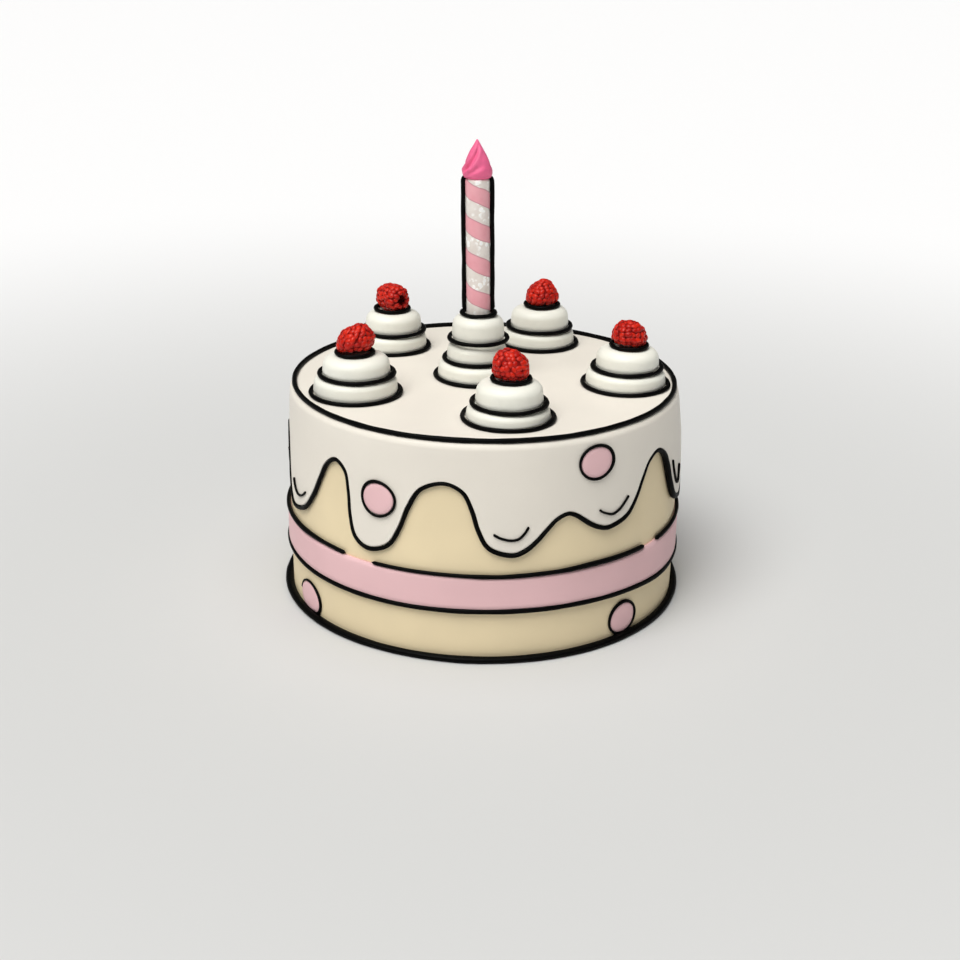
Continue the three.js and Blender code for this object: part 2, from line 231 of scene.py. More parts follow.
BODY_RADIUS = reach("cake_body")
BODY_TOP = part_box("cake_body")[1][2]
WAIST = 44 * MM                     # where the body starts to taper
SHOULDER = 90 * MM
SHOULDER_RADIUS = 86.75 * MM
FOOT_ROUND = 0.8 * MM
SHOULDER_ROUND = 5 * MM
TOP_GAP = 0.2 * MM                  # the body's top stays this far below its CAD solid, under the coat
BODY_ROWS = 14
BODY_COLUMNS = 192
BEIGE = srgb(247, 229, 190)


def body_radius(height):
    return BODY_RADIUS - max(0, height - WAIST) * (BODY_RADIUS - SHOULDER_RADIUS) / (SHOULDER - WAIST)


body_top = BODY_TOP - TOP_GAP
foot = [(0, 0), (BODY_RADIUS / 2, 0), *arc((BODY_RADIUS - FOOT_ROUND, FOOT_ROUND), FOOT_ROUND, -90, 0, 3)]
side = [*rise((BODY_RADIUS, 2 * MM), (BODY_RADIUS, WAIST), BODY_ROWS),
        *rise((BODY_RADIUS, WAIST), (SHOULDER_RADIUS, SHOULDER), BODY_ROWS)]
shoulder = [*arc((SHOULDER_RADIUS - SHOULDER_ROUND, body_top - SHOULDER_ROUND), SHOULDER_ROUND, 0, 90, 6),
            (40 * MM, body_top), (0, body_top)]
body = turned(foot + side + shoulder, BODY_COLUMNS)
reshape(body, lambda azimuth, radius, height: (
    azimuth, radius + (hand_marks(azimuth, height) if radius > 80 * MM else 0), height))
beige_fondant = fondant("beige_fondant", BEIGE, roughness=0.55, shade=0.95)
settle(piece("body_beige", body, beige_fondant), "beige_fondant", "cake_body")


# ---- white coat -------------------------------------------------------------------------------------
# A second, thinner sheet of warm white sugar paste laid over the top, cut along its lower edge into long
# round drips with arches between them. Its shoulder is soft and its cut edge is a little rounded.

COAT_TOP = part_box("icing_coat")[1][2]
COAT_HIGH = 90 * MM
COAT_HIGH_RADIUS = 88.5 * MM
COAT_FLARE = 2.25 / 40              # how much wider the coat is for each step down
COAT_COLUMNS = 880
COAT_SWELL = 1.3 * MM               # how much further the coat stands off at the right
SWELL_AZIMUTH, SWELL_WIDTH = 84, 24
COAT_ROUND = 3.4 * MM
WHITE = srgb(243, 237, 226)


def coat_radius(height):
    return COAT_HIGH_RADIUS + (COAT_HIGH - height) * COAT_FLARE


def coat_swell(azimuth, height):
    """The coat stands off a little further at the right, below its shoulder."""
    away = ((azimuth - SWELL_AZIMUTH + 180) % 360 - 180) / SWELL_WIDTH
    return COAT_SWELL * exp(-away * away) * min(1, max(0, (COAT_TOP - height) / 0.02))


def coat_edge():
    """The lower edge of the CAD coat as sorted (azimuth, height) corners."""
    below = 0.99 * COAT_HIGH
    corners = {(round(degrees(atan2(v.co.x, -v.co.y)), 2), round(v.co.z, 6))
               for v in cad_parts["icing_coat"].data.vertices if v.co.z < below}
    return sorted(corners)


def rounded(corners, count):
    """A closed smooth curve through (azimuth, height) corners, as points an equal way apart, in metres
    along the side and up, each with the unit normal that points up into the coat."""
    unrolled = [(radians(azimuth) * BODY_RADIUS, height) for azimuth, height in corners]
    turn = 2 * pi * BODY_RADIUS
    size = len(unrolled)

    def corner(i):
        along, height = unrolled[i % size]
        return Vector((along + turn * (i // size), height))

    dense = []
    for i in range(size):
        before, start, end, after = (corner(i + k) for k in (-1, 0, 1, 2))
        for step in range(40):
            t = step / 40
            dense.append(0.5 * (2 * start + (end - before) * t
                                + (2 * before - 5 * start + 4 * end - after) * t * t
                                + (3 * start - before - 3 * end + after) * t ** 3))
    dense.append(corner(size))
    lengths = [0.0]
    for first, second in zip(dense, dense[1:]):
        lengths.append(lengths[-1] + (second - first).length)
    points = []
    cursor = 0
    for i in range(count):
        goal = lengths[-1] * i / count
        while lengths[cursor + 1] < goal:
            cursor += 1
        share = (goal - lengths[cursor]) / (lengths[cursor + 1] - lengths[cursor])
        points.append(dense[cursor].lerp(dense[cursor + 1], share))
    curve = []
    for i, point in enumerate(points):
        after = points[(i + 1) % count] + Vector((turn if i + 1 == count else 0, 0))
        before = points[i - 1] - Vector((turn if i == 0 else 0, 0))
        tangent = (after - before).normalized()
        curve.append((point, Vector((-tangent.y, tangent.x))))
    return curve


edge_curve = rounded(coat_edge(), COAT_COLUMNS)
EDGE_STEP = 0.001                   # stands for one row down the side while the profile is spun
SIDE_ROWS = 22
LINING_ROWS = 8
LINING = 0.1 * MM                   # how far the lining stays off the body
SIDE, BACK = 1, 2                   # stand-in radii in metres for the side and its lining
LIP = 0.8 * MM                      # how far the cut edge turns in

# While it is spun, the side is a column of rows EDGE_STEP apart below the shoulder; reshaping lays the
# rows between the shoulder and the edge of the drips.
top = [(radius * MM, COAT_TOP) for radius in (0, 30, 60, 78)]
shoulder = [*arc((COAT_HIGH_RADIUS - 0.2 * MM - COAT_ROUND, COAT_TOP - COAT_ROUND), COAT_ROUND, 90, 0, 8)]
side = [(SIDE, -EDGE_STEP * row) for row in range(SIDE_ROWS + 1)]
lining = [(BACK, -EDGE_STEP * row) for row in range(LINING_ROWS, -1, -1)]
inside = [(SHOULDER_RADIUS - 2 * MM, BODY_TOP - 1.2 * MM), (80 * MM, BODY_TOP - LINING),
          (0, BODY_TOP - LINING)]
coat = turned(top + shoulder + side + lining + inside, COAT_COLUMNS)


def drape(azimuth, radius, height):
    column = round(azimuth * COAT_COLUMNS / 360) % COAT_COLUMNS
    point, normal = edge_curve[column]
    straight = degrees(point.x / BODY_RADIUS)
    if radius < SIDE / 2:
        wave = 0.25 * MM * noise.noise(at(straight, radius * 30, 3.0)) * min(1, radius / (30 * MM))
        outside = height > BODY_TOP + 1 * MM
        return (straight, radius + (coat_swell(straight, height) if outside else 0),
                height + (wave if outside and radius < 84 * MM else 0))
    rows, outside = (SIDE_ROWS, True) if radius < (SIDE + BACK) / 2 else (LINING_ROWS, False)
    share = -height / EDGE_STEP / rows
    drop = 1 - (1 - share) ** 1.6 if outside else share
    level = COAT_HIGH + (point.y - COAT_HIGH) * drop
    if not outside:
        return straight, body_radius(level) + LINING + hand_marks(straight, level), level
    lip = LIP * max(0, (share - 0.93) / 0.07) ** 2
    stand = coat_radius(level) - lip + hand_marks(straight, level) + coat_swell(straight, level)
    return straight, stand, level


reshape(coat, drape)
bmesh.ops.recalc_face_normals(coat, faces=coat.faces)
white_fondant = fondant("white_fondant", WHITE, roughness=0.5, shade=0.975)
settle(piece("coat_white", coat, white_fondant), "white_fondant", "icing_coat")


# ---- black lines ------------------------------------------------------------------------------------
# Black sugar paste rolled by hand into thin ropes and stuck down with water: round the foot, along the
# band, round the drips and on the rim. Being hand rolled, they waver and swell a little along their way.

paste = Finish("black_fondant", Specular_IOR_Level=0.06)
kneads = paste.noise(0.0016, 4)
black = paste.mix(paste.between(kneads, 0.55, 0.8), srgb(3, 3, 3), srgb(13, 12, 11))
black_fondant = paste.surface(Base_Color=black, Roughness=kneads * 0.35 + 0.32,
                              Normal=paste.bump(kneads, 0.00012, 0.6))
SWELL_SCALE = 130                   # how quickly a rope's thickness changes along it, per metre


def rope(name, path, thickness, closed=False, sides=12, swell=0.13, weights=None):
    """A hand-rolled rope along a list of points. An open rope has rounded ends. The weights, if given, are
    how thick the rope is at each point, as a share of its thickness."""
    curve = bpy.data.curves.new(name, "CURVE")
    curve.dimensions = "3D"
    curve.bevel_depth = thickness / 2
    curve.bevel_resolution = sides // 4 - 1
    curve.use_fill_caps = not closed
    spline = curve.splines.new("POLY")
    spline.points.add(len(path) - 1)
    spline.use_cyclic_u = closed
    walked = [0.0]
    for first, second in zip(path, path[1:]):
        walked.append(walked[-1] + (second - first).length)
    seed = random.Random(name).uniform(0, 50)
    for index, (point, place, length) in enumerate(zip(spline.points, path, walked)):
        around = length / walked[-1] * 2 * pi
        where = (Vector((cos(around), sin(around), 0)) * walked[-1] / 2 / pi if closed
                 else Vector((length, 0, 0)))
        point.co = (*place, 1)
        point.radius = 1 + swell * noise.noise(where * SWELL_SCALE + Vector((seed, 0, 0)))
        if weights:
            point.radius *= weights[index]
        if not closed:
            end = min(length, walked[-1] - length) / (thickness / 2)
            point.radius *= sqrt(max(0.02, 1 - max(0, 1 - end) ** 2))
    holder = bpy.data.objects.new(name, curve)
    bpy.context.scene.collection.objects.link(holder)
    mesh = holder.evaluated_get(bpy.context.evaluated_depsgraph_get()).to_mesh()
    bm = bmesh.new()
    bm.from_mesh(mesh)
    bpy.data.objects.remove(holder)
    bpy.data.curves.remove(curve)
    bmesh.ops.remove_doubles(bm, verts=bm.verts, dist=1e-7)
    bmesh.ops.recalc_face_normals(bm, faces=bm.faces)
    return piece(name, bm, black_fondant)


def along_turn(table, azimuth):
    """The value at one azimuth of a smooth curve through sorted (azimuth, value) pairs round the cake."""
    table = [(table[-1][0] - 360, table[-1][1]), *table, (table[0][0] + 360, table[0][1])]
    azimuth = (azimuth - table[0][0]) % 360 + table[0][0]
    for (start, low), (end, high) in zip(table, table[1:]):
        if azimuth <= end:
            share = (azimuth - start) / (end - start)
            return low + (high - low) * share * share * (3 - 2 * share)
    return table[-1][1]


def waver(seed, azimuth, size):
    """A slow sideways wander of a line round the cake."""
    spot = at(azimuth, 1.0, seed)
    return size * (noise.noise(spot * 2.2) + 0.4 * noise.noise(spot * 6))


ROPE_SINK = 0.88                    # a rope's middle stands off its bed by this share of its radius

# the line along the drips, its middle a little below the coat's edge
EDGE_LINE = 1.95 * MM
EDGE_DROP = 1.05 * MM
EDGE_WEIGHTS = [(-90, 1.1), (-60, 1.05), (-44, 1.0), (-10, 0.88), (10, 1.08), (23, 0.95), (36, 1.1),
                (56, 1.05), (64, 1.6), (74, 1.5), (88, 1.05), (150, 0.95), (210, 1.05)]
path, weights = [], []
for point, normal in edge_curve:
    spot = point - normal * EDGE_DROP
    azimuth = degrees(spot.x / BODY_RADIUS)
    thick = along_turn(EDGE_WEIGHTS, azimuth)
    radius = body_radius(spot.y) + EDGE_LINE / 2 * 1.1 * thick + hand_marks(azimuth, spot.y)
    path.append(at(azimuth, radius, spot.y))
    weights.append(thick)
line = rope("line_drips", path, EDGE_LINE, closed=True, swell=0.1, weights=weights)
settle(line, "black_fondant", "drip_line")

# the line on the rim of the top
RIM_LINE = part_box("rim_line")[1][2] - COAT_TOP
RIM_RADIUS = reach("rim_line") - RIM_LINE / 2
path = [at(azimuth, RIM_RADIUS + waver(3, azimuth, 0.0003), COAT_TOP - 0.0002 + RIM_LINE / 2 * ROPE_SINK)
        for azimuth in range(0, 360, 2)]
settle(rope("line_rim", path, RIM_LINE, closed=True), "black_fondant", "rim_line")

# the thick line round the foot, pressed down so that it is wider than tall
BASE_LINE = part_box("base_line")[1][2]
BASE_REACH = reach("base_line") - 0.1 * MM
path = [at(azimuth, BODY_RADIUS + BASE_LINE / 2 - 0.1 * MM, BASE_LINE / 2) for azimuth in range(0, 360, 2)]
BASE_WIDTHS = [(-90, 1.4), (-50, 1.42), (-20, 1.25), (0, 1.42), (30, 1.42), (50, 1.3), (75, 1.15), (100, 1.2),
               (180, 1.35)]         # how far it is squeezed outwards
base = rope("line_base", path, BASE_LINE * 0.97, closed=True, swell=0.05, sides=16)
for vertex in base.data.vertices:
    azimuth = degrees(atan2(vertex.co.x, -vertex.co.y))
    wide = along_turn(BASE_WIDTHS, azimuth) + waver(7, azimuth, 0.05)
    out = (vertex.co.xy.length - BODY_RADIUS) * wide
    vertex.co = at(azimuth, min(BODY_RADIUS + out, BASE_REACH), max(vertex.co.z, 0))
settle(base, "black_fondant", "base_line")


# ---- waistband --------------------------------------------------------------------------------------
# A strip of pale pink sugar paste wrapped once round the beige, with a black line along each edge. The
# lower line hangs a little on the right; the upper line is laid in two lengths with gaps between them.

BAND_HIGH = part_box("waistband")[1][2]
BAND_LOW = 24.5 * MM
BAND_THICKNESS = reach("waistband") - BODY_RADIUS
SAG_AZIMUTH, SAG_WIDTH = 68, 26
SAG_DEPTH = BAND_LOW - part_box("waistband")[0][2]
PINK = srgb(244, 201, 205)


def sag(azimuth):
    away = ((azimuth - SAG_AZIMUTH + 180) % 360 - 180) / SAG_WIDTH
    return SAG_DEPTH * exp(-away * away)


inner = BODY_RADIUS - 0.2 * MM
outer = BODY_RADIUS + BAND_THICKNESS
bevelled = outer - 0.3 * MM
profile = [(inner, BAND_LOW), (bevelled, BAND_LOW),
           *rise((outer, BAND_LOW + 0.4 * MM), (outer, BAND_HIGH), 8),
           (bevelled, BAND_HIGH), (inner, BAND_HIGH), (inner, BAND_LOW)]
band = turned(profile, 240)


def hang(azimuth, radius, height):
    share = (BAND_HIGH - height) / (BAND_HIGH - BAND_LOW)
    return azimuth, radius + hand_marks(azimuth, height), height - sag(azimuth) * share


reshape(band, hang)
pink_fondant = fondant("pink_fondant", PINK, roughness=0.55, shade=0.95)
settle(piece("band_pink", band, pink_fondant), "pink_fondant", "waistband")

BAND_LINE = reach("waistband_line_bottom") - BODY_RADIUS - 0.3 * MM
LINE_RADIUS = BODY_RADIUS + BAND_LINE / 2 * ROPE_SINK + 0.0002
LOW_LINE = [(-90, 23.3), (-60, 23.3), (-35, 23.5), (-10, 23.75), (30, 23.9), (45, 24.1), (60, 23.9),
            (90, 23.7), (180, 23.6)]            # height of the lower line's middle, without the sag
LOW_WEIGHTS = [(-90, 0.88), (-60, 0.95), (-30, 1.05), (-10, 1.12), (30, 1.2), (50, 1.18), (90, 1.0),
               (180, 1.02)]
turns = range(0, 360, 2)
path = [at(azimuth, LINE_RADIUS,
           along_turn(LOW_LINE, azimuth) * MM - sag(azimuth) + waver(11, azimuth, 0.0002))
        for azimuth in turns]
line = rope("line_band_bottom", path, BAND_LINE, closed=True, swell=0.08,
            weights=[along_turn(LOW_WEIGHTS, azimuth) for azimuth in turns])
settle(line, "black_fondant", "waistband_line_bottom")

# the upper line is in two lengths, thicker in places
TOP_LINE = [(-90, 40.5), (-60, 40.6), (-50, 40.7), (-30, 40.0), (-10, 40.1), (5, 39.8), (20, 40.1),
            (32, 40.6), (50, 40.2), (60, 40.0), (90, 40.3), (150, 40.1), (210, 40.4)]
TOP_WEIGHTS = [(-90, 0.85), (-60, 1.02), (-48, 0.8), (-30, 0.76), (-10, 0.76), (5, 0.9), (20, 0.9),
               (32, 1.08), (50, 0.95), (60, 0.88), (75, 0.75), (120, 0.9), (180, 1.0), (230, 0.9)]
for side, start, end in (("front", -31, 51), ("back", 57, 320)):
    azimuths = range(start, end + 1)
    path = [at(azimuth, LINE_RADIUS, along_turn(TOP_LINE, azimuth) * MM + waver(15, azimuth, 0.0002))
            for azimuth in azimuths]
    line = rope(f"line_band_top_{side}", path, BAND_LINE, swell=0.08,
                weights=[along_turn(TOP_WEIGHTS, azimuth) for azimuth in azimuths])
    settle(line, "black_fondant", f"waistband_line_top_{side}")


# ---- dots -------------------------------------------------------------------------------------------
# Pink discs cut from thin sugar paste and stuck on the coat and on the beige, each inside a thin black
# ring that was laid by eye and is not quite round.

DOT_LINE = 1.3 * MM
DOT_SIZES = {                       # half width and half height in mm
    "dot_coat_left": (7.4, 6.8), "dot_coat_right": (7.7, 6.7), "dot_coat_back_left": (7.2, 6.8),
    "dot_coat_back_right": (7.0, 6.9), "dot_body_left": (9.2, 7.0), "dot_body_right": (7.5, 6.9),
    "dot_body_back_left": (7.2, 6.9), "dot_body_back_right": (7.1, 6.7),
}
OPEN_OUTLINE = (-52, 172)           # the dot at the left of the foot has its ring only between these angles


def dot_outline(name, azimuth, height, wide, tall, surface):
    """A wavering ring round a dot, on a surface given as a function of the height."""
    seed = random.Random(name)
    turns = [(order, seed.uniform(0, 2 * pi), seed.uniform(0.008, 0.022)) for order in (2, 3)]
    cut = name == "dot_body_left"
    first, last = OPEN_OUTLINE if cut else (0, 360)
    path, weights = [], []
    for step in range(61 if cut else 60):
        angle = radians(first + (last - first) * step / 60)
        wander = 1 + sum(size * cos(order * angle + phase) for order, phase, size in turns)
        across = (wide + DOT_LINE * 0.5) * wander * cos(angle)
        up = max(height + (tall + DOT_LINE * 0.5) * wander * sin(angle), BASE_LINE - DOT_LINE * 0.3)
        radius = surface(up) + DOT_LINE / 2 * ROPE_SINK
        path.append(at(azimuth + degrees(across / radius), radius, up))
        weights.append(1.15 - 0.7 * (step / 60) ** 2 if cut else 1 + 0.16 * cos(angle - turns[0][1]))
    line = rope(f"outline_{name}", path, DOT_LINE, closed=not cut, sides=8, weights=weights)
    settle(line, "black_fondant")


for name, size in DOT_SIZES.items():
    wide, tall = (part * MM for part in size)
    low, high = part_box(name)
    azimuth = degrees(atan2(low[0] + high[0], -low[1] - high[1]))
    height = high[2] - tall
    surface = coat_radius if "coat" in name else body_radius
    # turned with a radius of 1, then stretched to the dot's own width and height
    dot = turned([(0, 0), (0.97, 0), (1, 0.0003), (0.985, 0.0006), (0.94, 0.0009), (0.7, 0.001),
                  (0, 0.00105)], 48)
    for vertex in dot.verts:
        along, up, out = vertex.co.x * wide, vertex.co.y * tall, vertex.co.z
        level = max(height + up, BASE_LINE * 0.9)
        radius = surface(level)
        vertex.co = at(azimuth + degrees(along / radius), radius + out - 0.0001, level)
    bmesh.ops.recalc_face_normals(dot, faces=dot.faces)
    settle(piece(f"pink_{name}", dot, pink_fondant), "pink_fondant", name)
    dot_outline(name, azimuth, height, wide, tall, surface)


# ---- accents in the drips ---------------------------------------------------------------------------
# Short curved strokes of thin black paste inside the ends of the drips, as a cartoonist draws a shine.

ACCENT_LINE = 1.15 * MM


def accent(name, corners):
    """A smooth open stroke on the coat through a few (azimuth, height) corners, in degrees and mm."""
    knots = [Vector(corner) for corner in corners]
    knots = [2 * knots[0] - knots[1], *knots, 2 * knots[-1] - knots[-2]]
    path = []
    for before, start, end, after in zip(knots, knots[1:], knots[2:], knots[3:]):
        for step in range(12):
            t = step / 12
            spot = 0.5 * (2 * start + (end - before) * t + (2 * before - 5 * start + 4 * end - after) * t * t
                          + (3 * start - before - 3 * end + after) * t ** 3)
            height = spot.y * MM
            bed = coat_radius(height) + coat_swell(spot.x, height)
            path.append(at(spot.x, bed + ACCENT_LINE / 2 * 0.7, height))
    settle(rope(f"accent_{name}", path, ACCENT_LINE, sides=8), "black_fondant")


accent("left", [(-68.3, 60.6), (-66.8, 57.4), (-64.6, 55.2), (-62.2, 55.4), (-60.2, 57.0), (-58.6, 59.2)])
accent("front", [(2.8, 59.0), (4.9, 57.2), (7.4, 56.2), (9.5, 56.7), (11.1, 59.0), (12.3, 62.1)])
accent("right", [(32.7, 64.5), (34.4, 62.7), (37.2, 61.2), (39.7, 62.4), (41.7, 64.9), (43.4, 67.4)])
accent("far_right", [(67.2, 72.0), (68.6, 65.5), (70.6, 59.8), (72.2, 59.2), (73.4, 62.5), (74.2, 67.0)])
accent("back_right", [(100.5, 57.0), (103.5, 53.6), (107.0, 55.5), (109.5, 60.0)])
accent("back", [(164.0, 57.0), (167.5, 54.0), (171.5, 56.5), (174.0, 61.0)])
accent("back_left", [(199.5, 60.5), (203.0, 57.5), (206.5, 60.0), (208.0, 63.5)])
accent("far_left", [(260.0, 60.0), (263.0, 56.5), (267.0, 58.0), (269.5, 62.5)])


# ---- rosettes ---------------------------------------------------------------------------------------
# Stacks of thick discs of brighter white sugar paste with pillowed edges, each set on the one below with
# a black rope tucked in round its foot. Six stacks stand on the cake, the middle one three discs high.

CREAM = srgb(249, 249, 238)
cream_fondant = fondant("cream_fondant", CREAM, roughness=0.42, patches=0.014, shade=0.97)


def pillow(radius, height, roundness):
    """The profile of a disc with a tucked-in foot, a bulging side and a rounded top."""
    points = [(0, 0), (radius * 0.5, 0), (radius - 0.0012, 0), (radius - 0.0006, 0.0004),
              (radius - 0.0003, 0.0012)]
    points += [*rise((radius, height * 0.25), (radius - 0.0003, height - roundness), 4)]
    for step in range(11):
        angle = radians(90 * step / 10)
        points.append((radius - 0.0003 - roundness * 1.15 * (1 - cos(angle)),
                       height - roundness * (1 - sin(angle))))
    flat = points[-1][0]
    points += [(flat * 0.75, height + 0.0001), (flat * 0.4, height + 0.0002), (0, height + 0.0002)]
    return points


for name in sorted(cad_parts):
    if "_disc_" not in name:
        continue
    low, high = (Vector(corner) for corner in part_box(name))
    centre = (low + high) / 2
    radius = (high.x - low.x) / 2
    height = high.z - low.z
    upper = not name.endswith("_1")
    disc = turned(pillow(radius, height, 0.0044 if upper else 0.003), 72)
    seed = Vector((random.Random(name).uniform(0, 90), 0, 0))
    for vertex in disc.verts:
        around = Vector((vertex.co.x, vertex.co.y, 0)).normalized()
        reach_share = vertex.co.xy.length / radius
        bulge = 0.0003 * noise.noise(around * 0.9 + seed) * reach_share
        slump = 0.0004 * noise.noise(vertex.co * 60 + seed) * vertex.co.z / height
        vertex.co += around * bulge + Vector((centre.x, centre.y, low.z + slump))
    thing = piece(name.replace("_disc_", "_pillow_"), disc, cream_fondant)
    settle(thing, "cream_fondant", name)

# each rope is closed into a ring, and swells where its two ends were pressed together
JOINS = {                           # azimuth of the join about the ring's own middle, and how thick it is
    "rosette_left_line_2": (82, 1.35), "rosette_left_line_1": (96, 1.25), "candle_ring": (62, 1.3),
    "rosette_front_line_1": (70, 1.18), "rosette_front_line_2": (80, 1.2),
    "rosette_right_line_2": (-80, 1.15), "rosette_back_left_line_2": (86, 1.2),
    "rosette_back_right_line_2": (-88, 1.2),
}
RING_SHARE = 0.88                   # how thick a ring is, as a share of its CAD height
RING_FRONT = 0.1                    # how much thinner it is pressed at its front
BERRY_RING_LIFT = 0.25 * MM
for name in sorted(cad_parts):
    is_ring = name.startswith("berry_ring")
    if not (is_ring or name == "candle_ring" or name.startswith("rosette") and "_line_" in name):
        continue
    low, high = (Vector(corner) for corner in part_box(name))
    centre = (low + high) / 2
    thickness = (high.z - low.z) * RING_SHARE
    radius = (high.x - low.x) / 2 - thickness / 2
    dice = random.Random(name)
    seed = Vector((dice.uniform(0, 90), 0, 0))
    join, join_size = JOINS.get(name, (dice.uniform(120, 240), 1.2))
    path, weights = [], []
    for azimuth in range(0, 360, 5):
        spoke = at(azimuth, 1.0, 0)
        away = (azimuth - join + 180) % 360 - 180
        pressed = 1 - RING_FRONT * max(0, cos(radians(azimuth)))
        weights.append((1 + (join_size - 1) * exp(-(away / 17) ** 2)) * pressed)
        wander = 0.0003 * noise.noise(spoke * 1.1 + seed)
        lift = 0.0002 * noise.noise(spoke * 1.4 - seed) + (weights[-1] - 1) * thickness * 0.4
        level = low.z + thickness * 0.48 + (BERRY_RING_LIFT if is_ring else 0) + lift
        path.append(spoke * (radius + wander) + Vector((centre.x, centre.y, level)))
    line = rope(name + "_rope", path, thickness, closed=True, weights=weights)
    settle(line, "black_fondant", name)


# ---- raspberries ------------------------------------------------------------------------------------
# Fresh raspberries, one in the black ring on each outer stack: a soft core covered with plump drupelets
# in staggered rows. One lies on its side and shows the hollow that its stalk left.

fruit = Finish("raspberry", Specular_IOR_Level=0.25, Coat_Roughness=0.2)
depth = fruit.node("ShaderNodeAttribute", {"attribute_name": "proud"}, {}, "Fac")
ripe = fruit.node("ShaderNodeAttribute", {"attribute_name": "ripeness"}, {}, "Fac")
flesh = fruit.mix(ripe, srgb(178, 17, 8), srgb(224, 40, 17))
# the drupelets turn darker red down towards the skin between them: painted shade in the crevices
crown = fruit.between(depth, 0.05, 0.6)
flesh_and_painted_shade = fruit.mix(crown, srgb(136, 9, 6), flesh)
raspberry = fruit.surface(Base_Color=flesh_and_painted_shade, Roughness=fruit.noise(0.0012) * 0.3 + (0.65 - crown * 0.45),
                          Coat_Weight=crown * 0.1)

DRUPELET = 2.5 * MM                # spacing of the drupelets
BUMP = 0.9 * MM                     # how far a drupelet stands off the berry's skin


def drupelets(skin, place, dice, core):
    """Drupelets in rows along a (radius, height) skin profile, joined with a turned core into one bmesh."""
    bm = bmesh.new()
    proud = bm.verts.layers.float.new("proud")
    ripeness = bm.verts.layers.float.new("ripeness")
    walked = [0.0]
    for first, second in zip(skin, skin[1:]):
        walked.append(walked[-1] + hypot(second[0] - first[0], second[1] - first[1]))
    rows = max(3, round(walked[-1] / (DRUPELET * 0.86)))
    for row in range(rows + 1):
        goal = walked[-1] * row / rows
        i = min(max(k for k in range(len(walked)) if walked[k] <= goal + 1e-9), len(skin) - 2)
        share = (goal - walked[i]) / (walked[i + 1] - walked[i])
        radius = skin[i][0] + (skin[i + 1][0] - skin[i][0]) * share
        height = skin[i][1] + (skin[i + 1][1] - skin[i][1]) * share
        slope = Vector((skin[i + 1][1] - skin[i][1], -(skin[i + 1][0] - skin[i][0]))).normalized()
        count = max(1, round(2 * pi * radius / DRUPELET))
        shift = dice.uniform(0, 360)
        for k in range(count):
            azimuth = shift + 360 * (k + dice.uniform(-0.2, 0.2)) / count
            outwards = (at(azimuth, 1.0, 0) * slope.x + Vector((0, 0, slope.y))).normalized()
            size = DRUPELET * dice.uniform(0.55, 0.74)
            spot = at(azimuth, radius, height) + outwards * dice.uniform(-0.0004, 0.0)
            spot += Vector([dice.uniform(-1, 1) for _ in range(3)]) * 0.00022
            facing = outwards.to_track_quat("Z", "Y").to_matrix().to_4x4()
            twist = Matrix.Rotation(dice.uniform(0, pi), 4, "Z")
            shape = Matrix.Diagonal(
                (dice.uniform(0.75, 0.95), dice.uniform(1.0, 1.35), dice.uniform(0.62, 0.76), 1))
            made = bmesh.ops.create_icosphere(bm, subdivisions=2, radius=size,
                                              matrix=Matrix.Translation(spot) @ facing @ twist @ shape)
            colour = dice.uniform(0.0, 1.0)
            for vertex in made["verts"]:
                vertex[proud] = max(0, (vertex.co - spot).dot(outwards) / size)
                vertex[ripeness] = colour
    corners = [bm.verts.new((0, -max(0, radius), height)) for radius, height in core]
    edges = [bm.edges.new(pair) for pair in zip(corners, corners[1:])]
    bmesh.ops.spin(bm, geom=corners + edges, axis=(0, 0, 1), cent=(0, 0, 0), dvec=(0, 0, 0),
                   angle=2 * pi, steps=32, use_merge=True, use_duplicate=False)
    bmesh.ops.remove_doubles(bm, verts=bm.verts, dist=1e-7)
    bmesh.ops.recalc_face_normals(bm, faces=bm.faces)
    bmesh.ops.transform(bm, matrix=place, verts=bm.verts)
    return bm


# Standing berries are domes with the hollow underneath, set down on the ring of rope. Each has its own
# roundness at the top, slant to the right in mm, roll to the left and rise of the front rim in degrees.
STANDING = {
    "front": (1.75, -1.2, 0, 3), "left": (2.3, 2.2, 7, 13), "right": (1.9, -0.7, -3, 4),
    "back_right": (1.35, 0.6, 3, 3),
}
for name, (point, slant, roll, rise_front) in STANDING.items():
    low, high = (Vector(corner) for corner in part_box(f"raspberry_{name}"))
    ring_low, ring_high = (Vector(corner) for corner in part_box(f"berry_ring_{name}"))
    radius = (high.y - low.y) / 2 - BUMP
    height = high.z - ring_high.z - BUMP
    skin = [(radius * 0.86, 0.0006), (radius * 0.97, height * 0.13)]
    for step in range(13):
        share = step / 12
        skin.append((radius * (1 - share ** point) ** (1 / 2.1), height * (0.25 + 0.75 * share)))
    hollow = [(0, height * 0.5), (radius * 0.35, height * 0.45), (radius * 0.55, height * 0.1),
              (radius * 0.66, 0.0002)]
    seat = (ring_low + ring_high) / 2
    seat.z = ring_high.z - 0.0003
    place = (Matrix.Translation(seat) @ Matrix.Rotation(radians(-roll), 4, "Y")
             @ Matrix.Rotation(radians(-rise_front), 4, "X"))
    bm = drupelets(skin, Matrix(), random.Random(name), hollow + skin + [(0, skin[-1][1])])
    seed = Vector((random.Random(name).uniform(0, 50), 0, 0))
    for vertex in bm.verts:
        up = max(0, vertex.co.z) / height
        vertex.co += 0.0006 * noise.noise_vector(vertex.co * 130 + seed) * min(1, 2 * up)
        vertex.co.x += slant * MM * up
        vertex.co = place @ vertex.co
        vertex.co.z = max(vertex.co.z, ring_low.z + 0.0003)
    settle(piece(f"berry_{name}", bm, raspberry), "raspberry", f"raspberry_{name}")

